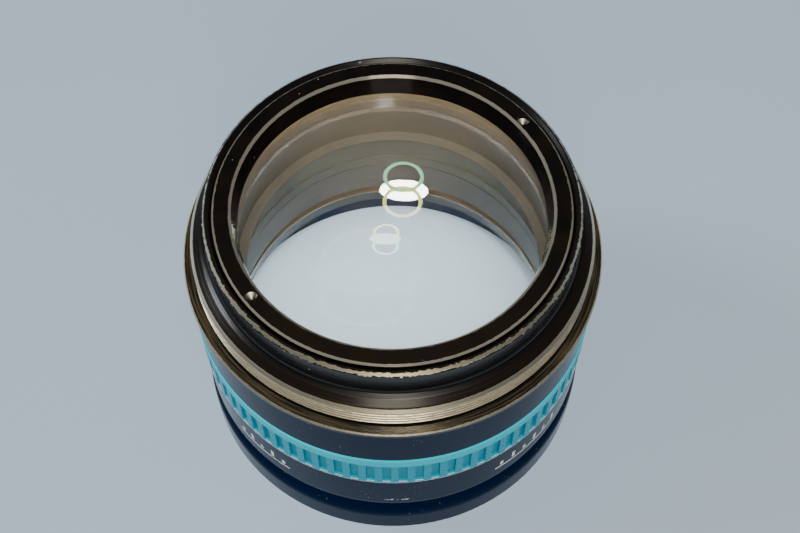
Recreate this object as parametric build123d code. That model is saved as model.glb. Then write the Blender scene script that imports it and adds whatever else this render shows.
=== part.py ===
"""Auxiliary (Barlow) lens for a stereo microscope, in millimetres.

The lens stands on its front ring with +Z up the optical axis. The origin is the centre of the
face that it stands on. A cemented doublet sits under a screwed ring at the top of the barrel,
and a meniscus sits in a cell above the open front. Two shells and a ribbed grip ring close
round the barrel's skirt.
"""
from build123d import *
from math import pi, sqrt
import os

# ---- overall sizes -------------------------------------------------------------------------
TOTAL_HEIGHT = 46.4
RIM_RADIUS = 26.65

# ---- clearances ----------------------------------------------------------------------------
RUNNING = 0.05        # radial gap of a ring that turns in its thread
SLIP = 0.25           # radial gap round the slip washers
SEAT_GAP = 0.02       # gap between a washer or a seat and the curved glass
SLIDING = 0.05        # radial gap of pieces that drop into a bore and stay there

# ---- barrel: rim, neck, mounting thread and flange -----------------------------------------
RIM_WALL = 1.4        # from the retaining ring's thread to the rim's outside
RIM_CHAMFER = 0.5     # outer edge of the rim
RIM_BEVEL = 0.7       # inner edge of the rim
NECK_HEIGHT = 5.95    # rim top to the start of the thread
NECK_FILLET = 0.9
LEDGE_RISE = 0.65     # the ledge above the thread rises this much towards the neck
THREAD_STEP = 2.35    # thread crests stand this far outside the rim
THREAD_PITCH = 0.75
THREAD_TURNS = 5
THREAD_DEPTH = 0.42
CREST_WIDTH = 0.2
THREAD_LEAD_IN = 0.55
RELIEF_WIDTH = 0.45
RELIEF_SINK = 0.2     # the relief cuts this deep into the flange's top
RELIEF_STEP = 0.1     # and this far outside the thread
FLANGE_STEP = 1.5     # flange edge stands this far outside the thread
FLANGE_THICKNESS = 0.8
FLANGE_CHAMFER = 0.15
SKIRT_STEP = 1.7      # the skirt is this much smaller than the thread
SEAT_LIP = 1.3        # height of the inner lip that the doublet stands on
SEAT_WIDTH = 2.7
BAFFLE_WALL = 0.85

# ---- upper retaining ring ------------------------------------------------------------------
RING_HEIGHT = 3.2
RING_WIDTH = 2.7
RING_TAPER = 0.6      # its bore narrows by this much towards the glass
RING_CHAMFER = 0.25
RING_BEVEL = 0.35     # inner edge of the ring
RING_PITCH = 0.5
RING_TURNS = 4
WASHER_THICKNESS = 0.3
WASHER_WIDTH = 2.4
SPANNER_HOLE_RADIUS = 0.95
SPANNER_HOLE_DEPTH = 1.0
SPANNER_POINT = 0.5   # depth of the drilled cone below the hole
SPANNER_ANGLE = 37.0

# ---- doublet -------------------------------------------------------------------------------
GLASS_STEP = 0.4      # the glass is this much smaller than the ring
FRONT_CURVE = 160.0
CEMENT_CURVE = 110.0
REAR_CURVE = 400.0
CROWN_EDGE = 1.73     # edge thickness of the crown
FLINT_THICKNESS = 2.5
CUSHION_THICKNESS = 0.4
CUSHION_WIDTH = 1.2

# ---- outer shells and grip ring ------------------------------------------------------------
WALL_STEP = 0.45      # the shells are this much smaller than the flange
GRIP_PROUD = 0.15     # the grip ring stands this far outside the shells
FOOT_PROUD = 0.35     # and the foot this far
FOOT_HEIGHT = 4.6
COVE_HEIGHT = 5.3
COVE_DEPTH = 1.1
BAND_HEIGHT = 8.2
GRIP_HEIGHT = 8.1
GRIP_WALL = 1.4
GRIP_LIP = 2.1        # plain band above the ribs
GRIP_END = 0.6        # plain lip that closes the grooves below
GRIP_CHAMFER = 0.3
RIB_COUNT = 80
GROOVE_SHARE = 0.52   # share of each rib's pitch that the groove takes
GROOVE_DEPTH = 0.5
SPIGOT_LENGTH = 3.5   # threaded end of the upper shell, inside the lower one
SPIGOT_STEP = 0.4
EDGE_CHAMFER = 0.15

# ---- lens cell, meniscus and lower retaining ring ------------------------------------------
CELL_FLOOR = 8.0      # height of the shoulder that the cell stands on
CELL_HEIGHT = 11.0
CELL_GRIP = 2.4       # width of the shoulder under the cell
FRONT_CHAMFER = 0.6
MENISCUS_STEP = 1.9   # the meniscus is this much smaller than the doublet
MENISCUS_TOP_CURVE = 95.0
MENISCUS_BASE_CURVE = 140.0
MENISCUS_THICKNESS = 4.0
LOWER_RING_HEIGHT = 2.0
LOWER_RING_INSET = 0.2
LOWER_RING_STEP = 0.8
LOWER_RING_WIDTH = 1.9
SLOT_WIDTH = 1.6
SLOT_DEPTH = 1.0
SHIM_THICKNESS = 0.2

# ---- baffles and screws --------------------------------------------------------------------
STOP_THICKNESS = 0.4
STOP_WIDTH = 2.3
LOCK_RING_HEIGHT = 2.0
LOCK_RING_WIDTH = 1.1
GRUB_COUNT = 3
GRUB_RADIUS = 1.0
GRUB_RISE = 2.95      # height of the grub screws above the barrel's skirt end
GRUB_POINT = 0.45     # depth of the dimple that a grub screw presses into
HEX_ACROSS = 0.9
HEX_DEPTH = 0.8
CELL_SCREW_COUNT = 3
CELL_SCREW_RADIUS = 0.6
CELL_SCREW_LENGTH = 5.0
CELL_SCREW_HEAD = 1.05
CELL_SCREW_DRIVE = 0.3

# ---- radii that follow ---------------------------------------------------------------------
ring_bore = RIM_RADIUS - RIM_WALL
ring_radius = ring_bore - RUNNING
glass_radius = ring_radius - GLASS_STEP
glass_bore = glass_radius + SLIDING
ring_top_bore = ring_radius - RING_WIDTH
ring_low_bore = ring_top_bore - RING_TAPER
washer_radius = ring_bore - SLIP
washer_bore = washer_radius - WASHER_WIDTH
seat_radius = glass_radius - SEAT_WIDTH
baffle_bore = seat_radius + BAFFLE_WALL
baffle_radius = baffle_bore - SLIDING
thread_radius = RIM_RADIUS + THREAD_STEP
root_radius = thread_radius - THREAD_DEPTH
flange_radius = thread_radius + FLANGE_STEP
skirt_radius = thread_radius - SKIRT_STEP
shell_bore = skirt_radius + SLIDING
wall_radius = flange_radius - WALL_STEP
grip_radius = wall_radius + GRIP_PROUD
grip_bore = grip_radius - GRIP_WALL
foot_radius = wall_radius + FOOT_PROUD
spigot_radius = grip_bore - SPIGOT_STEP
cell_radius = skirt_radius
front_bore = cell_radius - CELL_GRIP
meniscus_radius = glass_radius - MENISCUS_STEP
meniscus_bore = meniscus_radius + SLIDING
lower_ring_bore = meniscus_radius + LOWER_RING_STEP
lower_ring_radius = lower_ring_bore - RUNNING
lower_clear_radius = lower_ring_radius - LOWER_RING_WIDTH
lower_washer_radius = lower_ring_bore - SLIP

# ---- heights that follow, from the face it stands on ---------------------------------------
ring_floor = TOTAL_HEIGHT - RING_HEIGHT
washer_floor = ring_floor - WASHER_THICKNESS
ledge = TOTAL_HEIGHT - NECK_HEIGHT
thread_length = THREAD_LEAD_IN + THREAD_PITCH * (THREAD_TURNS - 1) + CREST_WIDTH
flange_top = ledge - thread_length - RELIEF_WIDTH - THREAD_DEPTH / 2
flange_floor = flange_top - FLANGE_THICKNESS
cove_floor = FOOT_HEIGHT
cove_top = cove_floor + COVE_HEIGHT
grip_floor = cove_top + BAND_HEIGHT
grip_top = grip_floor + GRIP_HEIGHT
spigot_floor = grip_floor - SPIGOT_LENGTH
cell_top = CELL_FLOOR + CELL_HEIGHT
skirt_floor = cell_top + SHIM_THICKNESS
grub_height = skirt_floor + GRUB_RISE
lock_top = skirt_floor + LOCK_RING_HEIGHT
lower_ring_floor = CELL_FLOOR + LOWER_RING_INSET
lower_ring_top = lower_ring_floor + LOWER_RING_HEIGHT
meniscus_floor = lower_ring_top + WASHER_THICKNESS + SEAT_GAP


def sag(curve, radius):
    """Drop of a spherical surface at a distance from its vertex."""
    return curve - sqrt(curve ** 2 - radius ** 2)


front_vertex = washer_floor + sag(FRONT_CURVE, washer_bore) - SEAT_GAP
cement_vertex = (front_vertex - sag(FRONT_CURVE, glass_radius) - CROWN_EDGE
                 - sag(CEMENT_CURVE, glass_radius))
rear_vertex = cement_vertex - FLINT_THICKNESS
cushion_bore = seat_radius
cushion_top = rear_vertex + sag(REAR_CURVE, cushion_bore) - SEAT_GAP
seat_height = cushion_top - CUSHION_THICKNESS
lip_floor = seat_height - SEAT_LIP
stop_floor = (lock_top + lip_floor - STOP_THICKNESS) / 2
stop_top = stop_floor + STOP_THICKNESS
meniscus_low_vertex = meniscus_floor + sag(MENISCUS_BASE_CURVE, lower_clear_radius)
meniscus_top_vertex = meniscus_low_vertex + MENISCUS_THICKNESS
meniscus_seat = meniscus_top_vertex - sag(MENISCUS_TOP_CURVE, lower_clear_radius) + SEAT_GAP
cell_screw_circle = cell_radius - CELL_SCREW_HEAD


# ---- helpers -------------------------------------------------------------------------------
def turned(*edges):
    """A solid of revolution about Z from outline edges drawn as (radius, height)."""
    return revolve(Plane.XZ * make_face(Wire(edges)), Axis.Z)


def outline(*points):
    """Straight edges through points, as a list."""
    return Polyline(*points).edges()


def closed(*points):
    """A solid of revolution about Z with straight sides only."""
    return turned(*Polyline(*points, close=True).edges())


def tube(outer, inner, low, high, chamfer=0.0):
    """A plain ring, with a chamfer on its two outer corners."""
    if chamfer:
        return closed((inner, low), (outer - chamfer, low), (outer, low + chamfer),
                      (outer, high - chamfer), (outer - chamfer, high), (inner, high))
    return closed((inner, low), (outer, low), (outer, high), (inner, high))


def dome(curve, vertex, radius, sign):
    """A spherical surface's half section: sign -1 curves down to its edge, +1 up."""
    return ThreePointArc((0, vertex), (radius / 2, vertex + sign * sag(curve, radius / 2)),
                         (radius, vertex + sign * sag(curve, radius)))


def upright(radius, low, length, x, y):
    """A vertical cylinder standing on a height."""
    body = Cylinder(radius, length, align=(Align.CENTER, Align.CENTER, Align.MIN))
    return Pos(x, y, low) * body


# ---- metal pieces --------------------------------------------------------------------------
def thread_outline():
    """The mounting thread's section, from its lead-in down to the relief above the flange."""
    points = [(thread_radius, ledge - THREAD_LEAD_IN)]
    flank = (THREAD_PITCH - CREST_WIDTH) / 2
    for turn in range(THREAD_TURNS):
        crest = ledge - THREAD_LEAD_IN - THREAD_PITCH * turn
        if turn:
            points.append((thread_radius, crest))
        points.append((thread_radius, crest - CREST_WIDTH))
        if turn < THREAD_TURNS - 1:
            points.append((root_radius, crest - CREST_WIDTH - flank))
    points.append((root_radius, ledge - thread_length - THREAD_DEPTH / 2))
    points.append((root_radius, flange_top - RELIEF_SINK))
    points.append((thread_radius + RELIEF_STEP, flange_top - RELIEF_SINK))
    points.append((thread_radius + RELIEF_STEP, flange_top))
    return points


def barrel():
    """Rim, concave neck, mounting thread, flange and the skirt inside the shells."""
    top = TOTAL_HEIGHT
    ledge_start = RIM_RADIUS + NECK_FILLET
    ledge_top = ledge + LEDGE_RISE
    outside = outline((ring_bore + RIM_BEVEL, top), (RIM_RADIUS - RIM_CHAMFER, top),
                      (RIM_RADIUS, top - RIM_CHAMFER), (RIM_RADIUS, ledge_top + NECK_FILLET))
    slope = Vector(thread_radius - THREAD_LEAD_IN - ledge_start, ledge - ledge_top)
    fillet = Spline((RIM_RADIUS, ledge_top + NECK_FILLET), (ledge_start, ledge_top),
                    tangents=((0, -1), slope))
    thread = outline((ledge_start, ledge_top), (thread_radius - THREAD_LEAD_IN, ledge),
                     *thread_outline())
    below = outline((thread_radius + RELIEF_STEP, flange_top), (flange_radius - FLANGE_CHAMFER, flange_top),
                    (flange_radius, flange_top - FLANGE_CHAMFER), (flange_radius, flange_floor),
                    (skirt_radius, flange_floor), (skirt_radius, skirt_floor),
                    (baffle_bore, skirt_floor), (baffle_bore, lip_floor),
                    (seat_radius, lip_floor), (seat_radius, seat_height),
                    (glass_bore, seat_height), (glass_bore, washer_floor),
                    (ring_bore, washer_floor), (ring_bore, top - RIM_BEVEL),
                    (ring_bore + RIM_BEVEL, top))
    body = turned(*outside, fillet, *thread, *below)
    for k in range(GRUB_COUNT):
        body -= Rot(0, 0, 360 / GRUB_COUNT * k) * grub_dimple()
    return body


def grub_dimple():
    """The cone that one grub screw's point presses into."""
    cone = Cone(GRUB_RADIUS, GRUB_RADIUS / 2, GRUB_POINT,
                align=(Align.CENTER, Align.CENTER, Align.MIN))
    return Pos(skirt_radius, 0, grub_height) * Rot(0, -90, 0) * cone


def grub_screws():
    """Three pointed screws with hexagon sockets, under the grip ring."""
    start = skirt_radius - GRUB_POINT
    end = grip_bore - SLIP
    shank = Cylinder(GRUB_RADIUS, end - skirt_radius, align=(Align.CENTER, Align.CENTER, Align.MIN))
    point = Cone(GRUB_RADIUS / 2, GRUB_RADIUS, GRUB_POINT,
                 align=(Align.CENTER, Align.CENTER, Align.MIN))
    drive = extrude(RegularPolygon(HEX_ACROSS / 2, 6, major_radius=False), HEX_DEPTH)
    screw = point + Pos(0, 0, GRUB_POINT) * shank
    screw -= Pos(0, 0, end - start - HEX_DEPTH) * drive
    placed = Pos(start, 0, grub_height) * Rot(0, 90, 0) * screw
    return [Rot(0, 0, 360 / GRUB_COUNT * k) * placed for k in range(GRUB_COUNT)]


def upper_retaining_ring():
    """The ring over the doublet, with two drilled holes for a pin spanner."""
    top = TOTAL_HEIGHT
    ring = closed((ring_low_bore, ring_floor), (ring_radius, ring_floor),
                  (ring_radius, top - RING_CHAMFER), (ring_radius - RING_CHAMFER, top),
                  (ring_top_bore + RING_BEVEL, top), (ring_top_bore, top - RING_BEVEL))
    middle = (ring_top_bore + ring_radius) / 2
    hole = upright(SPANNER_HOLE_RADIUS, top - SPANNER_HOLE_DEPTH, SPANNER_HOLE_DEPTH, middle, 0)
    point = Pos(middle, 0, top - SPANNER_HOLE_DEPTH) * Cone(
        0, SPANNER_HOLE_RADIUS, SPANNER_POINT, align=(Align.CENTER, Align.CENTER, Align.MAX))
    for angle in (SPANNER_ANGLE, SPANNER_ANGLE + 180):
        ring -= Rot(0, 0, angle) * (hole + point)
    return ring


def upper_shell():
    """The smooth shell under the flange, with the sleeve that carries the grip ring."""
    shell = closed((shell_bore, spigot_floor), (spigot_radius, spigot_floor),
                   (spigot_radius, grip_floor), (grip_bore - SLIDING, grip_floor),
                   (grip_bore - SLIDING, grip_top), (wall_radius - EDGE_CHAMFER, grip_top),
                   (wall_radius, grip_top + EDGE_CHAMFER), (wall_radius, flange_floor),
                   (shell_bore, flange_floor))
    hole = Pos(shell_bore - SLIP, 0, grub_height) * Rot(0, 90, 0) * Cylinder(
        GRUB_RADIUS + SLIDING, grip_bore - shell_bore + SLIP * 2,
        align=(Align.CENTER, Align.CENTER, Align.MIN))
    for k in range(GRUB_COUNT):
        shell -= Rot(0, 0, 360 / GRUB_COUNT * k) * hole
    return shell


def grip_ring():
    """The coloured ring: a plain lip above, closed grooves below."""
    ring = closed((grip_bore, grip_floor), (grip_radius, grip_floor),
                  (grip_radius, grip_top - GRIP_CHAMFER), (grip_radius - GRIP_CHAMFER, grip_top),
                  (grip_bore, grip_top))
    pitch = 2 * pi * grip_radius / RIB_COUNT
    height = GRIP_HEIGHT - GRIP_LIP - GRIP_END
    # A groove starts half a pitch from +X, so that a rib crosses the X axis.
    cutter = Box(GROOVE_DEPTH * 2, pitch * GROOVE_SHARE, height,
                 align=(Align.CENTER, Align.CENTER, Align.MIN))
    groove = Pos(grip_radius, 0, grip_floor + GRIP_END) * cutter
    step = 360 / RIB_COUNT
    return ring - [Rot(0, 0, step * (k + 0.5)) * groove for k in range(RIB_COUNT)]


def lower_shell():
    """The marked band, a shallow cove and the foot, with a shoulder for the lens cell."""
    outside = outline((front_bore + FRONT_CHAMFER, 0), (foot_radius - EDGE_CHAMFER, 0),
                      (foot_radius, EDGE_CHAMFER), (foot_radius, cove_floor))
    middle = (cove_floor + cove_top) / 2
    cove = Spline((foot_radius, cove_floor), (wall_radius - COVE_DEPTH, middle),
                  (wall_radius, cove_top), tangents=((0, 1), (0, 1)))
    inside = outline((wall_radius, cove_top), (wall_radius, grip_floor - EDGE_CHAMFER),
                     (wall_radius - EDGE_CHAMFER, grip_floor),
                     (spigot_radius + SLIDING, grip_floor), (spigot_radius + SLIDING, spigot_floor),
                     (cell_radius + SLIDING, spigot_floor), (cell_radius + SLIDING, CELL_FLOOR),
                     (front_bore, CELL_FLOOR), (front_bore, FRONT_CHAMFER),
                     (front_bore + FRONT_CHAMFER, 0))
    shell = turned(*outside, cove, *inside)
    low = CELL_FLOOR - CELL_SCREW_LENGTH / 2
    for x, y in cell_screw_places():
        shell -= upright(CELL_SCREW_RADIUS + SLIDING, low, CELL_SCREW_LENGTH, x, y)
        shell -= upright(CELL_SCREW_HEAD + SLIDING, 0, low, x, y)
    return shell


def cell_screw_places():
    """Where the cell's screws stand on their circle."""
    places = PolarLocations(cell_screw_circle, CELL_SCREW_COUNT, start_angle=90)
    return [(place.position.X, place.position.Y) for place in places.locations]


def cell_screws():
    """Three cheese-head screws that hold the cell down from below."""
    low = CELL_FLOOR - CELL_SCREW_LENGTH / 2
    head = min(low / 2, CELL_SCREW_HEAD)
    screws = []
    for x, y in cell_screw_places():
        screw = upright(CELL_SCREW_RADIUS, low, CELL_SCREW_LENGTH, x, y)
        screw += upright(CELL_SCREW_HEAD, low - head, head, x, y)
        drive = Box(CELL_SCREW_HEAD * 2, CELL_SCREW_DRIVE, head)
        screws.append(screw - Pos(x, y, low - head) * drive)
    return screws


def lens_cell():
    """The cell for the meniscus, threaded below for its ring."""
    top_bore = baffle_bore - LOCK_RING_WIDTH
    cell = closed((lower_ring_bore, CELL_FLOOR), (cell_radius, CELL_FLOOR),
                  (cell_radius, cell_top), (top_bore, cell_top),
                  (lower_clear_radius, meniscus_seat + SEAT_LIP),
                  (lower_clear_radius, meniscus_seat), (meniscus_bore, meniscus_seat),
                  (meniscus_bore, lower_ring_top + WASHER_THICKNESS),
                  (lower_ring_bore, lower_ring_top + WASHER_THICKNESS))
    depth = CELL_SCREW_LENGTH / 2
    for x, y in cell_screw_places():
        cell -= upright(CELL_SCREW_RADIUS + SLIDING, CELL_FLOOR, depth, x, y)
    return cell


def slotted_ring(outer, inner, low, high, slot_low):
    """A locking ring with two spanner slots across one face."""
    ring = tube(outer, inner, low, high)
    slot = Box(2 * outer + 1, SLOT_WIDTH, SLOT_DEPTH, align=(Align.CENTER, Align.CENTER, Align.MIN))
    return ring - Pos(0, 0, slot_low) * slot


def lower_retaining_ring():
    """The ring under the meniscus, with spanner slots in its lower face."""
    return slotted_ring(lower_ring_radius, lower_clear_radius, lower_ring_floor, lower_ring_top,
                        lower_ring_floor)


def baffle_lock_ring():
    """The ring that holds the baffle tubes and the stop up inside the skirt."""
    return slotted_ring(baffle_radius, baffle_bore - LOCK_RING_WIDTH, skirt_floor, lock_top,
                        skirt_floor)


# ---- glass ---------------------------------------------------------------------------------
def crown_lens():
    """The doublet's upper, biconvex element."""
    front = dome(FRONT_CURVE, front_vertex, glass_radius, -1)
    back = dome(CEMENT_CURVE, cement_vertex, glass_radius, +1)
    return turned(front, Line(front @ 1, back @ 1), back, Line((0, cement_vertex), (0, front_vertex)))


def flint_lens():
    """The doublet's lower element, cemented to the crown's lower face."""
    front = dome(CEMENT_CURVE, cement_vertex, glass_radius, +1)
    back = dome(REAR_CURVE, rear_vertex, glass_radius, +1)
    return turned(front, Line(front @ 1, back @ 1), back, Line((0, rear_vertex), (0, cement_vertex)))


def meniscus_lens():
    """The lens in the cell, hollow below, with a flat land for its washer."""
    front = dome(MENISCUS_TOP_CURVE, meniscus_top_vertex, meniscus_radius, -1)
    back = dome(MENISCUS_BASE_CURVE, meniscus_low_vertex, lower_clear_radius, -1)
    return turned(front, Line(front @ 1, (meniscus_radius, meniscus_floor)),
                  Line((meniscus_radius, meniscus_floor), back @ 1), back,
                  Line((0, meniscus_low_vertex), (0, meniscus_top_vertex)))


# ---- the whole lens ------------------------------------------------------------------------
pieces = {
    "mount_barrel": barrel(),
    "upper_shell": upper_shell(),
    "grip_ring": grip_ring(),
    "lower_shell": lower_shell(),
    "lens_cell": lens_cell(),
    "upper_retaining_ring": upper_retaining_ring(),
    "upper_slip_washer": tube(washer_radius, washer_bore, washer_floor, ring_floor),
    "crown_lens": crown_lens(),
    "flint_lens": flint_lens(),
    "doublet_cushion": tube(cushion_bore + CUSHION_WIDTH, cushion_bore, seat_height, cushion_top),
    "upper_baffle_tube": tube(baffle_radius, seat_radius, stop_top, lip_floor),
    "aperture_stop": tube(baffle_radius, baffle_radius - STOP_WIDTH, stop_floor, stop_top),
    "lower_baffle_tube": tube(baffle_radius, seat_radius, lock_top, stop_floor),
    "baffle_lock_ring": baffle_lock_ring(),
    "focus_shim": tube(skirt_radius, baffle_bore, cell_top, skirt_floor),
    "meniscus_lens": meniscus_lens(),
    "lower_slip_washer": tube(lower_washer_radius, lower_clear_radius, lower_ring_top,
                              lower_ring_top + WASHER_THICKNESS),
    "lower_retaining_ring": lower_retaining_ring(),
    "grub_screws": Compound(children=grub_screws()),
    "cell_screws": Compound(children=cell_screws()),
}

os.makedirs("parts", exist_ok=True)
for name, piece in pieces.items():
    export_step(piece, f"parts/{name}.step")
print("travel of a ring, mm:", RING_PITCH * RING_TURNS)
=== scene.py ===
"""The looks of the auxiliary (Barlow) lens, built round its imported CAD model, in metres.

The CAD nodes keep their shapes and get procedural materials. The three glass elements are replaced
by finely turned ones. The floor, the lamps and the camera are the scene's own.
"""
import math

import bpy
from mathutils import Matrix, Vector


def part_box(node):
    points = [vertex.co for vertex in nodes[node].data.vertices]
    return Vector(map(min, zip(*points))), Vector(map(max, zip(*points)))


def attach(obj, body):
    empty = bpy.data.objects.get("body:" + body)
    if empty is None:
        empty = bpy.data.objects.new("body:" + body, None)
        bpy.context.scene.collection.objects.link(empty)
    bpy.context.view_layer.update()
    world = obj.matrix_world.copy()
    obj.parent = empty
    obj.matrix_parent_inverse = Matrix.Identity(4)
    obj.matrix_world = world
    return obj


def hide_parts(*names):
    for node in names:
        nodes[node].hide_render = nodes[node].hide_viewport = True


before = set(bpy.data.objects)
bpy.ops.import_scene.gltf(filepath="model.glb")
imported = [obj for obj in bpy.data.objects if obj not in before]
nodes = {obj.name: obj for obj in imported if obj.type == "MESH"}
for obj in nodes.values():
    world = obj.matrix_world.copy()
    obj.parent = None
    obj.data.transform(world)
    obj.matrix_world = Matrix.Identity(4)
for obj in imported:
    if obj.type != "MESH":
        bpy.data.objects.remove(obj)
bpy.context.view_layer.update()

MM = 0.001

# ---- heights and radii read from the CAD nodes, in millimetres -------------------------------


def low(name):
    """A node's lowest height."""
    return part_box(name)[0].z / MM


def high(name):
    """A node's highest height."""
    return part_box(name)[1].z / MM


def rim(name):
    """A node's outside radius."""
    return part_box(name)[1].x / MM


TOP = high("mount_barrel")
FLANGE = rim("mount_barrel")
WALL = rim("upper_shell")
GRIP = rim("grip_ring")
RING = rim("upper_retaining_ring")
GRIP_LOW = low("grip_ring")
GRIP_HIGH = high("grip_ring")

# ---- steps between the nodes' faces that their boxes do not show, in millimetres --------------
RIM_WALL = 1.45         # the rim outside the retaining ring
FLANGE_STEP = 1.5       # the flange outside the thread
FLANGE_THICKNESS = 0.8
THREAD_LENGTH = 4.41    # from the flange up to the ledge
BAND_HEIGHT = 8.2       # the marked band, between the cove and the grip ring
GRIP_LIP = 2.1          # the plain band above the ribs
GRIP_END = 0.6          # the plain lip below them
GROOVE_DEPTH = 0.5
RING_WIDTH = 2.7
LOWER_RING_WIDTH = 1.9
FOOT_EDGE = 0.3         # the foot's worn lower edge outside the walls
RIBS = 80

RIM = RING + RIM_WALL
THREAD = FLANGE - FLANGE_STEP
FLANGE_TOP = high("upper_shell") + FLANGE_THICKNESS
LEDGE = FLANGE_TOP + THREAD_LENGTH
COVE_TOP = GRIP_LOW - BAND_HEIGHT
GROOVE_LOW = GRIP_LOW + GRIP_END
MARKS = (COVE_TOP + GRIP_LOW) / 2   # the height of the middle of the marked band

# ---- curves of the glass, in millimetres -------------------------------------------------------
FRONT_CURVE = 160.0
CEMENT_CURVE = 110.0
REAR_CURVE = 400.0
TOP_CURVE = 95.0
BASE_CURVE = 140.0
CEMENT_GAP = 0.01


# ---- a short way to write a material's nodes -------------------------------------------------
class Paint:
    """A material, with the object's own coordinates in millimetres to draw with."""

    def __init__(self, name):
        self.material = bpy.data.materials.new(name)
        self.material.use_nodes = True
        self.tree = self.material.node_tree
        self.tree.nodes.clear()
        self.out = self.node("ShaderNodeOutputMaterial")
        coordinates = self.node("ShaderNodeTexCoord").outputs["Object"]
        scaled = self.node("ShaderNodeVectorMath", operation="SCALE")
        self.put(scaled.inputs[0], coordinates)
        scaled.inputs["Scale"].default_value = 1 / MM
        self.place = scaled.outputs[0]
        parts = self.node("ShaderNodeSeparateXYZ")
        self.put(parts.inputs[0], self.place)
        self.x, self.y, self.z = parts.outputs
        across = self.math("ADD", self.math("MULTIPLY", self.x, self.x),
                           self.math("MULTIPLY", self.y, self.y))
        self.r = self.math("SQRT", across)
        self.turn = self.math("DEGREES", self.math("ARCTAN2", self.y, self.x))

    def node(self, kind, **settings):
        made = self.tree.nodes.new(kind)
        for key, value in settings.items():
            setattr(made, key, value)
        return made

    def put(self, socket, value):
        """Sets a socket to a number or colour, or links it."""
        if isinstance(value, bpy.types.NodeSocket):
            self.tree.links.new(value, socket)
        elif isinstance(value, tuple) and len(value) == 3 and socket.type == "RGBA":
            socket.default_value = (*value, 1)
        else:
            socket.default_value = value

    def math(self, kind, *values):
        made = self.node("ShaderNodeMath", operation=kind)
        for socket, value in zip(made.inputs, values):
            self.put(socket, value)
        return made.outputs[0]

    def ease(self, value, start, end):
        """Rises smoothly from 0 to 1 as value goes from start to end."""
        made = self.node("ShaderNodeMapRange", interpolation_type="SMOOTHSTEP")
        self.put(made.inputs["Value"], value)
        self.put(made.inputs["From Min"], start)
        self.put(made.inputs["From Max"], end)
        return made.outputs[0]

    def spread(self, value, start, end, first, last):
        """Value's range from start to end becomes first to last."""
        made = self.node("ShaderNodeMapRange")
        self.put(made.inputs["Value"], value)
        for socket, number in zip(("From Min", "From Max", "To Min", "To Max"),
                                  (start, end, first, last)):
            self.put(made.inputs[socket], number)
        return made.outputs[0]

    def both(self, first, *more):
        """The product of masks."""
        for other in more:
            first = self.math("MULTIPLY", first, other)
        return first

    def either(self, first, *more):
        """The largest of masks."""
        for other in more:
            first = self.math("MAXIMUM", first, other)
        return first

    def outside(self, mask):
        return self.math("SUBTRACT", 1.0, mask)

    def band(self, value, start, end, soft=0.05):
        """1 between start and end, 0 elsewhere."""
        rising = self.ease(value, start - soft, start + soft)
        return self.both(rising, self.outside(self.ease(value, end - soft, end + soft)))

    def round(self, around, up, out=0.0):
        """A vector that runs round the axis without a seam, stretched as asked."""
        join = self.node("ShaderNodeCombineXYZ")
        for socket, part in zip(join.inputs, (self.x, self.y)):
            share = self.math("DIVIDE", part, self.r)
            self.put(socket, self.math("MULTIPLY", share, around))
        level = self.math("ADD", self.math("MULTIPLY", self.z, up),
                          self.math("MULTIPLY", self.r, out))
        self.put(join.inputs[2], level)
        return join.outputs[0]

    def noise(self, scale, vector=None, detail=2.0, rough=0.5, shift=0.0):
        made = self.node("ShaderNodeTexNoise", noise_dimensions="4D")
        self.put(made.inputs["Vector"], vector or self.place)
        made.inputs["W"].default_value = shift
        made.inputs["Scale"].default_value = scale
        made.inputs["Detail"].default_value = detail
        made.inputs["Roughness"].default_value = rough
        return made.outputs[0]

    def dots(self, scale, size, keep, vector=None, shift=0.0):
        """Scattered round specks: size is a share of their spacing, keep how many there are."""
        made = self.node("ShaderNodeTexVoronoi", voronoi_dimensions="4D")
        self.put(made.inputs["Vector"], vector or self.place)
        made.inputs["W"].default_value = shift
        made.inputs["Scale"].default_value = scale
        speck = self.outside(self.ease(made.outputs["Distance"], size * 0.6, size))
        chosen = self.node("ShaderNodeSeparateColor")
        self.put(chosen.inputs[0], made.outputs["Color"])
        return self.both(speck, self.math("LESS_THAN", chosen.outputs[0], keep))

    def near(self, radius, height, reach, ragged=0.0, grain=1.5, shift=0.0, bias=None):
        """1 close to a circle round the axis, with a ragged border. bias adds to the reach."""
        off = self.math("SUBTRACT", self.r, radius)
        rise = self.math("SUBTRACT", self.z, height)
        gap = self.math("SQRT", self.math("ADD", self.math("MULTIPLY", off, off),
                                          self.math("MULTIPLY", rise, rise)))
        if ragged:
            rough = self.noise(grain, detail=5.0, rough=0.7, shift=shift)
            gap = self.math("ADD", gap, self.spread(rough, 0.3, 0.7, -ragged, ragged))
        if bias is not None:
            gap = self.math("SUBTRACT", gap, bias)
        return self.outside(self.ease(gap, reach * 0.85, reach * 1.1))

    def mix(self, mask, under, over):
        """Colour over shows where mask is 1. Inputs 6 and 7 and output 2 are the colour ones."""
        made = self.node("ShaderNodeMix", data_type="RGBA")
        self.put(made.inputs[0], mask)
        self.put(made.inputs[6], under)
        self.put(made.inputs[7], over)
        return made.outputs[2]

    def blendto(self, mask, under, over):
        """The same for numbers, which use inputs 2 and 3."""
        made = self.node("ShaderNodeMix", data_type="FLOAT")
        self.put(made.inputs[0], mask)
        self.put(made.inputs[2], under)
        self.put(made.inputs[3], over)
        return made.outputs[0]

    def bump(self, height, distance, strength=1.0):
        made = self.node("ShaderNodeBump")
        made.inputs["Strength"].default_value = strength
        made.inputs["Distance"].default_value = distance * MM
        self.put(made.inputs["Height"], height)
        return made.outputs[0]

    def shade(self, **sockets):
        """Feeds the output from a Principled shader with these sockets, and gives the material."""
        shader = self.node("ShaderNodeBsdfPrincipled")
        for key, value in sockets.items():
            self.put(shader.inputs[key.replace("_", " ")], value)
        self.put(self.out.inputs["Surface"], shader.outputs[0])
        return self.material


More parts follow.
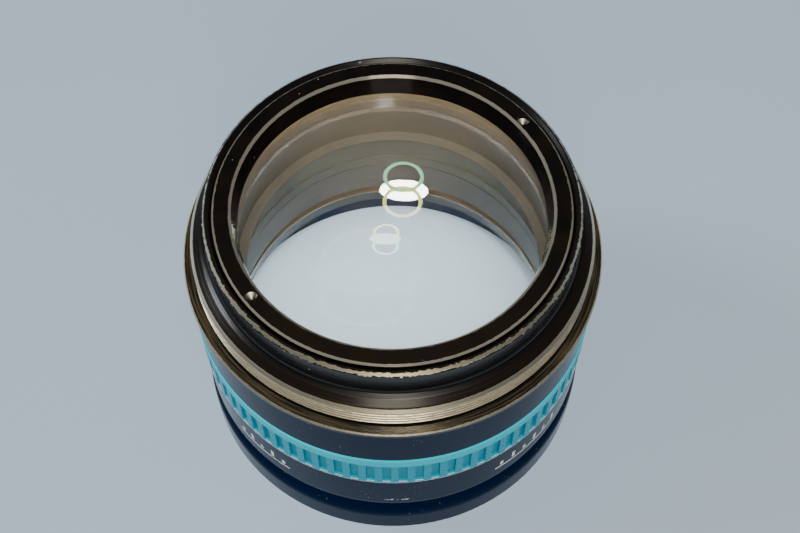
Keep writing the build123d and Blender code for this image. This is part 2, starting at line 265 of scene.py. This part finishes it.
# ---- colours ---------------------------------------------------------------------------------
BLACK = (0.0025, 0.0025, 0.003)
# warm black: a painted reflection on the barrel's top faces, and a random tone elsewhere
WARM_BLACK = (0.0065, 0.0045, 0.0025)
# black with a navy tint that is a painted reflection of a blue floor
BLACK_WITH_PAINTED_BLUE_REFLECTION = (0.0008, 0.0055, 0.021)
BARE = (0.92, 0.83, 0.62)
WORN = (0.17, 0.135, 0.075)
TEAL = (0.0, 0.27, 0.37)
# teal lightened as a painted highlight on the plain lip
TEAL_PAINTED_LIP_HIGHLIGHT = (0.0, 0.46, 0.58)
# teal darkened as painted shade in the grooves
TEAL_PAINTED_GROOVE_SHADE = (0.0, 0.25, 0.36)
WHITE_INK = (0.72, 0.72, 0.69)
BORE_BROWN = (0.085, 0.066, 0.042)
DUST = (0.30, 0.29, 0.26)


# ---- materials of the metal pieces -----------------------------------------------------------
def front_share(p):
    """1 on the side towards -Y, -1 on the far side."""
    return p.math("MULTIPLY", p.math("DIVIDE", p.y, p.r), -1.0)


def barrel_paint():
    """Black anodised barrel with worn rim, thread crests and flange, and a brown bore."""
    p = Paint("worn_black_barrel")
    front = front_share(p)
    turned = p.noise(1.0, p.round(1.5, 14.0, 14.0), detail=3.0)
    cloud = p.noise(0.16, detail=3.0, shift=2.0)
    chips = p.noise(0.9, detail=6.0, rough=0.72, shift=5.0)
    # the rim's outer chamfer is nearly bare in front and only chipped behind
    rim_bias = p.math("ADD", p.spread(front, -0.4, 0.5, -0.2, 0.0),
                      p.spread(chips, 0.45, 0.62, -0.06, 0.16))
    bare_rim = p.near(RIM - 0.25, TOP - 0.19, 0.24, 0.05, 1.8, 1.0, rim_bias)
    bare_flange = p.near(FLANGE - 0.04, FLANGE_TOP - 0.07, 0.16, 0.05, 1.0, 3.0)
    # thread crests and their lead-in
    crest = p.both(p.ease(p.r, THREAD - 0.14, THREAD - 0.03),
                   p.band(p.z, FLANGE_TOP + 0.5, LEDGE - 0.42, 0.06))
    crest = p.both(crest, p.spread(p.noise(0.9, p.round(26.0, 3.0), detail=4.0, shift=4.0),
                                   0.3, 0.52, 0.35, 1.0))
    lead = p.near(THREAD - 0.2, LEDGE - 0.36, 0.3, 0.04, 0.8, 7.0)
    flat = p.both(p.band(p.r, THREAD + 0.08, FLANGE + 1),
                  p.band(p.z, FLANGE_TOP - 0.1, FLANGE_TOP + 0.1))
    streaks = p.noise(1.0, p.round(4.0, 0.0, 7.0), detail=4.0, rough=0.65)
    rubbed = p.both(flat, p.spread(streaks, 0.45, 0.68, 0.0, 0.6))
    nicks = p.both(p.dots(0.42, 0.15, 0.3, shift=3.0), p.ease(chips, 0.42, 0.55))
    rim_specks = p.both(p.near(RIM - 0.12, TOP - 0.2, 0.42), p.dots(1.25, 0.36, 0.3, shift=11.0))
    bare = p.either(bare_rim, bare_flange, crest, lead, nicks, rim_specks)
    # painted reflection: the top face and the ledge get a warm brown base colour that stands in for the
    # warm ceiling mirrored in them
    ledge = p.both(p.band(p.z, LEDGE - 0.1, LEDGE + 1.6, 0.1), p.ease(p.r, RIM + 0.2, RIM + 1.0))
    level = p.either(p.band(p.z, TOP - 0.02, TOP + 1, 0.01), ledge)
    colour = p.mix(level, BLACK, WARM_BLACK)
    colour = p.mix(p.spread(cloud, 0.35, 0.7, 0.0, 0.5), colour, WARM_BLACK)
    root = p.both(p.band(p.z, FLANGE_TOP + 0.5, LEDGE - 0.42), p.ease(p.r, THREAD - 0.6, THREAD - 0.5))
    colour = p.mix(p.either(rubbed, root), colour, WORN)
    bore = p.both(p.outside(p.ease(p.r, RING - 0.05, RING + 0.02)),
                  p.outside(p.ease(p.z, TOP - 3.6, TOP - 3.4)))
    colour = p.mix(bore, colour, BORE_BROWN)
    shine = p.mix(p.spread(turned, 0.3, 0.7, 0.0, 1.0), BARE, (0.66, 0.58, 0.4))
    colour = p.mix(bare, colour, shine)
    rough = p.spread(turned, 0.3, 0.7, 0.17, 0.3)
    rough = p.blendto(p.either(rubbed, bare), rough, 0.3)
    height = p.math("SUBTRACT", p.math("MULTIPLY", turned, 0.25), p.math("MULTIPLY", bare, 0.6))
    metal = p.either(bare, p.math("MULTIPLY", rubbed, 0.8))
    return p.shade(Base_Color=colour, Roughness=rough, Metallic=metal,
                   Normal=p.bump(height, 0.02, 0.6), Specular_IOR_Level=0.35)


def wall_paint(name, marks):
    """Glossy black paint with fine scratches, dust and, on the band, plain white marks."""
    p = Paint(name)
    dust = p.both(p.dots(1.3, 0.13, 0.07, shift=1.0), p.ease(p.noise(0.12, shift=8.0), 0.42, 0.62))
    hair = p.noise(1.0, p.round(140.0, 1.4), detail=2.0, shift=6.0)
    scratch = p.both(p.ease(hair, 0.67, 0.7), p.ease(p.noise(0.2, shift=3.0), 0.5, 0.6))
    rub = p.noise(0.35, detail=5.0, rough=0.65)
    chips = p.both(p.dots(0.33, 0.1, 0.2, shift=7.0), p.ease(p.noise(0.9, detail=4.0), 0.52, 0.6))
    edges = [p.near(WALL, GRIP_LOW, 0.08, 0.2, 1.2, 2.0),
             p.near(WALL + FOOT_EDGE, 0.05, 0.1, 0.2, 1.0, 6.0)]
    bare = p.both(p.either(chips, *edges), 0.8)
    # painted reflection: the navy tint of these blacks and the blue specular tint stand in for a blue
    # floor mirrored in the gloss
    colour = p.mix(p.spread(rub, 0.4, 0.7, 0.0, 1.0), BLACK_WITH_PAINTED_BLUE_REFLECTION, (0.0011, 0.006, 0.0225))
    colour = p.mix(p.both(p.either(dust, scratch), 0.5), colour, DUST)
    colour = p.mix(bare, colour, (0.6, 0.58, 0.52))
    rough = p.spread(rub, 0.3, 0.7, 0.08, 0.2)
    if marks:
        ink = white_marks(p)
        colour = p.mix(ink, colour, WHITE_INK)
        rough = p.blendto(ink, rough, 0.45)
    rough = p.blendto(p.either(dust, bare), rough, 0.5)
    return p.shade(Base_Color=colour, Roughness=rough, Metallic=p.math("MULTIPLY", bare, 0.7),
                   Normal=p.bump(p.noise(0.8, detail=3.0), 0.004, 0.4), Specular_IOR_Level=0.12,
                   IOR=1.3, Specular_Tint=(0.25, 0.5, 1.0))


def white_marks(p):
    """Two groups of upright strokes with a line under each, and a small worn index mark."""
    half_stroke = 0.55
    foot = MARKS - 0.9
    strokes = []
    for centre, count, step in ((-132.0, 5, 4.0), (-47.0, 6, 4.2)):
        for k in range(count):
            at = centre + (k - (count - 1) / 2) * step
            tall = 1.9 if k % 2 else 1.1
            strokes.append(p.both(p.band(p.turn, at - half_stroke, at + half_stroke, 0.06),
                                  p.band(p.z, foot, foot + tall, 0.04)))
        half = count * step / 2
        strokes.append(p.both(p.band(p.turn, centre - half, centre + half, 0.06),
                              p.band(p.z, MARKS - 1.75, MARKS - 1.35, 0.04)))
    index = p.both(p.band(p.turn, -93.0, -86.0, 0.1), p.band(p.z, MARKS - 3.2, MARKS - 2.9, 0.04),
                   p.ease(p.noise(1.6, detail=4.0, shift=4.0), 0.5, 0.56))
    strokes.append(index)
    worn = p.ease(p.noise(1.1, detail=5.0, rough=0.7, shift=2.0), 0.36, 0.44)
    return p.both(p.either(*strokes), worn, p.ease(p.r, WALL - 0.4, WALL - 0.2))


def grip_paint():
    """Teal paint: a painted highlight lightens the plain lip and painted shade darkens the grooves;
    rubbed bare at the grooves' ends.
    """
    p = Paint("teal_grip")
    deep = p.outside(p.ease(p.r, GRIP - GROOVE_DEPTH + 0.08, GRIP - 0.2))
    peel = p.noise(1.6, detail=3.0)
    # painted shade: the groove floors are darkened further, unevenly, and made rougher
    painted_groove_shade = p.both(deep, p.spread(p.noise(0.5, detail=4.0, shift=3.0), 0.35, 0.65, 0.5, 1.0))
    share = p.math("FRACT", p.math("DIVIDE", p.turn, 360 / RIBS))
    ends = p.both(p.near(GRIP - 0.02, GROOVE_LOW, 0.13), p.band(share, 0.25, 0.75, 0.02),
                  p.ease(p.r, GRIP - 0.12, GRIP - 0.06),
                  p.ease(p.noise(0.3, detail=5.0, rough=0.7, shift=9.0), 0.4, 0.46))
    foot = p.near(GRIP, GRIP_LOW, 0.12, 0.12, 1.3, 4.0)
    chips = p.both(p.dots(0.5, 0.1, 0.12, shift=2.0), p.ease(p.noise(0.8, detail=4.0), 0.52, 0.6),
                   p.outside(deep))
    bare = p.either(ends, foot, chips)
    colour = p.mix(p.spread(peel, 0.3, 0.7, 0.0, 1.0), TEAL, (0.0, 0.28, 0.385))
    lip = GRIP_HIGH - GRIP_LIP
    # painted highlight: the plain lip above the ribs is lighter teal
    colour = p.mix(p.ease(p.z, lip - 0.05, lip + 0.2), colour, TEAL_PAINTED_LIP_HIGHLIGHT)
    # painted shade: the groove floors are darker teal
    colour = p.mix(deep, colour, TEAL_PAINTED_GROOVE_SHADE)
    colour = p.mix(p.math("MULTIPLY", painted_groove_shade, 0.2), colour, (0.0, 0.1, 0.14))
    colour = p.mix(bare, colour, (0.8, 0.82, 0.8))
    rough = p.blendto(painted_groove_shade, p.spread(peel, 0.3, 0.7, 0.22, 0.34), 0.5)
    return p.shade(Base_Color=colour, Roughness=rough, Metallic=p.math("MULTIPLY", bare, 0.6),
                   Normal=p.bump(peel, 0.002, 0.3), Specular_IOR_Level=0.2, IOR=1.35)


def ring_paint():
    """The retaining rings: satin black, dusty, with bare spanner holes."""
    p = Paint("satin_black_ring")
    turned = p.noise(1.0, p.round(1.2, 10.0, 18.0), detail=3.0)
    smear = p.noise(0.22, detail=5.0, rough=0.6, shift=5.0)
    dust = p.either(p.dots(1.1, 0.14, 0.12), p.dots(0.35, 0.06, 0.3, shift=4.0))
    hole = p.both(p.outside(p.ease(p.z, TOP - 0.95, TOP - 0.8)),
                  p.ease(p.r, RING - RING_WIDTH + 0.1, RING - RING_WIDTH + 0.3),
                  p.ease(p.z, TOP - 2.0, TOP - 1.8), p.outside(p.ease(p.r, RING - 0.35, RING - 0.25)))
    # painted highlight: a light olive line on the inner bevel where it catches light; the line on the
    # outer edge is wear
    inner_bevel_highlight = p.near(RING - RING_WIDTH + 0.18, TOP - 0.17, 0.26, 0.05, 0.9, 6.0)
    edge = p.either(p.near(RING - 0.12, TOP - 0.12, 0.2, 0.05, 1.5, 2.0), p.both(inner_bevel_highlight, 0.4))
    colour = p.mix(p.spread(smear, 0.35, 0.65, 0.0, 1.0), BLACK, WARM_BLACK)
    colour = p.mix(p.both(dust, 0.6), colour, DUST)
    colour = p.mix(p.both(edge, 0.75), colour, (0.62, 0.58, 0.48))
    colour = p.mix(hole, colour, (0.2, 0.185, 0.15))
    rough = p.spread(smear, 0.3, 0.7, 0.08, 0.15)
    rough = p.blendto(p.either(dust, hole), rough, 0.42)
    return p.shade(Base_Color=colour, Roughness=rough, Metallic=p.either(hole, p.both(edge, 0.7)),
                   Normal=p.bump(turned, 0.004, 0.4), Specular_IOR_Level=0.35)


def inner_paint(name, colour, second, rough):
    """Dull turned surfaces inside the lens."""
    p = Paint(name)
    turned = p.noise(1.0, p.round(1.0, 9.0, 9.0), detail=3.0)
    stain = p.noise(0.25, detail=4.0, shift=2.0)
    tone = p.mix(p.spread(stain, 0.3, 0.7, 0.0, 1.0), colour, second)
    tone = p.mix(p.both(p.dots(1.2, 0.12, 0.12), 0.5), tone, DUST)
    return p.shade(Base_Color=tone, Roughness=p.spread(turned, 0.3, 0.7, rough - 0.08, rough + 0.08),
                   Normal=p.bump(turned, 0.02, 0.5))


def brass_paint():
    """Rolled brass with faint streaks."""
    p = Paint("rolled_brass")
    streak = p.noise(1.0, p.round(3.0, 20.0, 20.0), detail=3.0)
    colour = p.mix(p.spread(streak, 0.3, 0.7, 0.0, 1.0), (0.22, 0.16, 0.09), (0.3, 0.23, 0.14))
    return p.shade(Base_Color=colour, Roughness=p.spread(streak, 0.3, 0.7, 0.25, 0.4), Metallic=1.0,
                   Normal=p.bump(streak, 0.008, 0.4))


def steel_paint():
    """Dark steel screws."""
    p = Paint("dark_steel")
    grain = p.noise(3.0, detail=4.0)
    colour = p.mix(p.spread(grain, 0.3, 0.7, 0.0, 1.0), (0.12, 0.12, 0.13), (0.3, 0.3, 0.3))
    return p.shade(Base_Color=colour, Roughness=p.spread(grain, 0.3, 0.7, 0.25, 0.45), Metallic=1.0,
                   Normal=p.bump(grain, 0.01, 0.4))


# ---- glass -----------------------------------------------------------------------------------
def glass_paint(name, tint, sheen, index):
    """Coated glass, through which lamps light the inside."""
    p = Paint(name)
    glass = p.node("ShaderNodeBsdfPrincipled")
    p.put(glass.inputs["Base Color"], tint)
    p.put(glass.inputs["Roughness"], 0.0)
    p.put(glass.inputs["IOR"], index)
    p.put(glass.inputs["Transmission Weight"], 1.0)
    p.put(glass.inputs["Specular Tint"], sheen)
    clear = p.node("ShaderNodeBsdfTransparent")
    p.put(clear.inputs[0], tint)
    choose = p.node("ShaderNodeMixShader")
    p.put(choose.inputs[0], p.node("ShaderNodeLightPath").outputs["Is Shadow Ray"])
    p.put(choose.inputs[1], glass.outputs[0])
    p.put(choose.inputs[2], clear.outputs[0])
    p.put(p.out.inputs["Surface"], choose.outputs[0])
    return p.material


def ground_paint():
    """The ground edge of a lens."""
    p = Paint("ground_glass_edge")
    stain = p.noise(0.3, detail=4.0)
    # painted light: the ground edge is lighter towards its top, as if lit from above
    upper = p.ease(p.z, low("crown_lens") + 0.8, low("crown_lens") + 3.2)
    colour = p.mix(upper, (0.13, 0.1, 0.06), (0.2, 0.155, 0.095))
    colour = p.mix(p.spread(stain, 0.35, 0.65, 0.0, 0.5), colour, (0.11, 0.085, 0.052))
    return p.shade(Base_Color=colour, Roughness=0.6, Normal=p.bump(p.noise(4.0, detail=3.0), 0.01, 0.5))


def sag(curve, radius):
    """Drop of a spherical surface at a distance from its vertex."""
    return curve - math.sqrt(curve * curve - radius * radius)


def surface(curve, vertex, radius, sign, count=40):
    """Points (radius, height) along a spherical surface, from the axis outwards."""
    radii = [radius * k / count for k in range(count + 1)]
    return [(out, vertex + sign * sag(curve, out)) for out in radii]


def lathe(name, outline, body, materials, edge_slots, steps=192):
    """Turns an outline of (radius, height) in millimetres about Z.

    edge_slots gives each of its sides the number of a material.
    """
    points, rings = [], []
    for radius, height in outline:
        if radius == 0:
            rings.append([len(points)] * steps)
            points.append((0, 0, height * MM))
            continue
        rings.append([len(points) + k for k in range(steps)])
        for k in range(steps):
            angle = 2 * math.pi * k / steps
            points.append((radius * MM * math.cos(angle), radius * MM * math.sin(angle), height * MM))
    faces, slots = [], []
    for first, second, slot in zip(rings, rings[1:], edge_slots):
        for k in range(steps):
            after = (k + 1) % steps
            corners = [first[k], second[k], second[after], first[after]]
            unique = list(dict.fromkeys(corners))
            if len(unique) > 2:
                faces.append(unique)
                slots.append(slot)
    mesh = bpy.data.meshes.new(name)
    mesh.from_pydata(points, [], faces)
    for face, slot in zip(mesh.polygons, slots):
        face.material_index = slot
        face.use_smooth = True
    for material in materials:
        mesh.materials.append(material)
    mesh.set_sharp_from_angle(angle=math.radians(30))
    made = bpy.data.objects.new(name, mesh)
    bpy.context.scene.collection.objects.link(made)
    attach(made, body)
    return made


ground = ground_paint()
CLEAR = (0.985, 0.985, 0.975)
front_face = glass_paint("coated_front_face", CLEAR, (1.0, 1.0, 1.0), 1.52)
cement_face = glass_paint("cemented_face", CLEAR, (0.9, 0.9, 1.0), 1.52)
flint_face = glass_paint("cemented_flint_face", CLEAR, (0.9, 0.9, 1.0), 1.56)
rear_face = glass_paint("coated_rear_face", CLEAR, (0.02, 0.03, 0.02), 1.56)
upper_face = glass_paint("coated_meniscus_top", CLEAR, (0.04, 0.06, 0.05), 1.52)
lower_face = glass_paint("coated_meniscus_base", CLEAR, (0.05, 0.05, 0.06), 1.52)

GLASS = rim("crown_lens")
MENISCUS = rim("meniscus_lens")
front_vertex = high("crown_lens")
cement_vertex = low("crown_lens")
rear_vertex = low("flint_lens")


def lens(name, node, top, bottom, over, under):
    """A glass element from its upper and lower surfaces, with a ground edge."""
    outline = top + bottom[::-1]
    slots = [0] * (len(top) - 1) + [1] + [2] * (len(bottom) - 1)
    made = lathe(name, outline, "lens_body", [over, ground, under], slots)
    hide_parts(node)
    return made


lens("crown_glass", "crown_lens", surface(FRONT_CURVE, front_vertex, GLASS, -1),
     surface(CEMENT_CURVE, cement_vertex + CEMENT_GAP, GLASS, +1), front_face, cement_face)
lens("flint_glass", "flint_lens", surface(CEMENT_CURVE, cement_vertex, GLASS, +1),
     surface(REAR_CURVE, rear_vertex, GLASS, +1), flint_face, rear_face)
clear_radius = rim("lower_retaining_ring") - LOWER_RING_WIDTH
meniscus_low = low("meniscus_lens") + sag(BASE_CURVE, clear_radius)
lens("meniscus_glass", "meniscus_lens", surface(TOP_CURVE, high("meniscus_lens"), MENISCUS, -1),
     surface(BASE_CURVE, meniscus_low, clear_radius, -1) + [(MENISCUS, low("meniscus_lens"))],
     upper_face, lower_face)

# ---- materials on the CAD nodes --------------------------------------------------------------
baffle = inner_paint("dull_black_baffle", (0.028, 0.023, 0.015), (0.043, 0.036, 0.024), 0.5)
low_baffle = inner_paint("dull_green_baffle", (0.025, 0.027, 0.018), (0.036, 0.038, 0.026), 0.5)
stop = inner_paint("dull_black_stop", (0.022, 0.018, 0.011), (0.034, 0.028, 0.018), 0.6)
cell = inner_paint("dull_black_cell", (0.02, 0.018, 0.016), (0.035, 0.03, 0.026), 0.45)
ring = ring_paint()
brass = brass_paint()
steel = steel_paint()
looks = {
    "mount_barrel": barrel_paint(),
    "upper_shell": wall_paint("gloss_black_shell", False),
    "grip_ring": grip_paint(),
    "lower_shell": wall_paint("gloss_black_marked_shell", True),
    "lens_cell": cell,
    "upper_retaining_ring": ring,
    "upper_slip_washer": brass,
    "doublet_cushion": inner_paint("brown_cushion", (0.02, 0.015, 0.009), (0.03, 0.022, 0.014), 0.6),
    "upper_baffle_tube": baffle,
    "aperture_stop": stop,
    "lower_baffle_tube": low_baffle,
    "baffle_lock_ring": low_baffle,
    "focus_shim": cell,
    "lower_slip_washer": brass,
    "lower_retaining_ring": ring,
    "grub_screws": steel,
    "cell_screws": steel,
}
for name, material in looks.items():
    mesh = nodes[name].data
    mesh.materials.clear()
    mesh.materials.append(material)

# ---- floor, lamps and camera -----------------------------------------------------------------


def floor_paint():
    """A plain pale floor with a faint mottle."""
    p = Paint("pale_floor")
    pale = (0.36, 0.47, 0.60)
    mottle = p.noise(0.02, detail=3.0)
    tone = p.mix(p.spread(mottle, 0.3, 0.7, 0.0, 1.0), pale, tuple(c * 0.97 for c in pale))
    return p.shade(Base_Color=tone, Roughness=0.8)


SIDE = 3.0          # half the floor's width, in metres
FLOOR_GAP = -0.02   # the floor's height, in millimetres: just clear of the foot
floor_mesh = bpy.data.meshes.new("floor")
corners = [(-SIDE, -SIDE, 0), (SIDE, -SIDE, 0), (SIDE, SIDE, 0), (-SIDE, SIDE, 0)]
floor_mesh.from_pydata(corners, [], [(0, 1, 2, 3)])
floor = bpy.data.objects.new("floor", floor_mesh)
floor.location.z = FLOOR_GAP * MM
bpy.context.scene.collection.objects.link(floor)
floor_mesh.materials.append(floor_paint())

MIDDLE = Vector((0, 0, 0.04))   # the point that the lamps look at, in metres
# The lamps that are seen mirrored in the glass shine on the glass only.
glass_only = bpy.data.collections.new("glass_only")
for name in ("crown_glass", "flint_glass", "meniscus_glass"):
    glass_only.objects.link(bpy.data.objects[name])


def lamp(name, place, size, power, colour, shape="DISK"):
    """A soft area lamp that looks at the middle of the lens."""
    data = bpy.data.lights.new(name, "AREA")
    data.shape = shape
    data.size = size
    data.energy = power
    data.color = colour
    made = bpy.data.objects.new(name, data)
    made.location = place
    made.rotation_euler = (MIDDLE - place).to_track_quat("-Z", "Y").to_euler()
    bpy.context.scene.collection.objects.link(made)
    return made


def towards(azimuth, elevation, distance):
    """A point at a bearing from the lens: azimuth 0 is the far side, and it grows to the right."""
    turn = math.radians(azimuth)
    rise = math.radians(elevation)
    way = Vector((math.sin(turn) * math.cos(rise), math.cos(turn) * math.cos(rise), math.sin(rise)))
    return MIDDLE + distance * way


def ring_lamp(name, place, outer, inner, colour, strength):
    """A ring-shaped lamp that faces the lens and shines on its glass only."""
    steps = 48
    points = []
    for radius in (outer, inner):
        for k in range(steps):
            angle = 2 * math.pi * k / steps
            points.append((radius * math.cos(angle), radius * math.sin(angle), 0))
    faces = [(k, (k + 1) % steps, steps + (k + 1) % steps, steps + k) for k in range(steps)]
    mesh = bpy.data.meshes.new(name)
    mesh.from_pydata(points, [], faces)
    glow = bpy.data.materials.new(name)
    glow.use_nodes = True
    glow.node_tree.nodes.clear()
    emission = glow.node_tree.nodes.new("ShaderNodeEmission")
    emission.inputs["Color"].default_value = (*colour, 1)
    emission.inputs["Strength"].default_value = strength
    output = glow.node_tree.nodes.new("ShaderNodeOutputMaterial")
    glow.node_tree.links.new(emission.outputs[0], output.inputs["Surface"])
    mesh.materials.append(glow)
    made = bpy.data.objects.new(name, mesh)
    made.location = place
    made.rotation_euler = (MIDDLE - place).to_track_quat("-Z", "Y").to_euler()
    bpy.context.scene.collection.objects.link(made)
    made.light_linking.receiver_collection = glass_only


ring_lamp("far_upper_ring", towards(2.4, 51.0, 0.9), 0.043, 0.035, (0.35, 1.0, 0.5), 16.0)
ring_lamp("far_lower_ring", towards(2.4, 55.4, 0.9), 0.043, 0.035, (0.9, 1.0, 0.25), 22.0)
far = lamp("far_lamp", towards(2.6, 53.4, 0.92), 0.105, 2.2, (1.0, 0.98, 0.94), "ELLIPSE")
far.data.size_y = 0.06
far.light_linking.receiver_collection = glass_only
lamp("near_fill", towards(180, 40, 1.2), 0.45, 3.5, (1.0, 0.9, 0.72))
lamp("near_lamp", towards(174, 66, 1.1), 0.14, 13.0, (1.0, 0.97, 0.93))
lamp("left_fill", towards(-80, 35, 1.4), 0.5, 8.0, (0.9, 0.95, 1.0))

# The sky is pale at the horizon, dim higher up and warm overhead.
HORIZON = (0.3, 0.34, 0.4, 1)
DIM_SKY = (0.05, 0.055, 0.065, 1)
WARM_SKY = (0.8, 0.6, 0.36, 1)
world = bpy.data.worlds.new("studio")
world.use_nodes = True
tree = world.node_tree
direction = tree.nodes.new("ShaderNodeTexCoord").outputs["Generated"]
split = tree.nodes.new("ShaderNodeSeparateXYZ")
tree.links.new(direction, split.inputs[0])
ramp = tree.nodes.new("ShaderNodeValToRGB")
tree.links.new(split.outputs[2], ramp.inputs[0])
horizon, overhead = ramp.color_ramp.elements
horizon.color = HORIZON
overhead.color = WARM_SKY
for height in (0.22, 0.84):
    ramp.color_ramp.elements.new(height).color = DIM_SKY
background = tree.nodes["Background"]
tree.links.new(ramp.outputs[0], background.inputs["Color"])
background.inputs["Strength"].default_value = 1.0
bpy.context.scene.world = world

camera_data = bpy.data.cameras.new("camera")
camera_data.sensor_width = 36
camera_data.lens = 58.5
camera_data.clip_start = 0.01
camera = bpy.data.objects.new("camera", camera_data)
camera.location = (0, -0.0999, 0.1975)
camera.rotation_euler = (math.radians(30.69), 0, math.radians(-0.6))
bpy.context.scene.collection.objects.link(camera)
bpy.context.scene.camera = camera
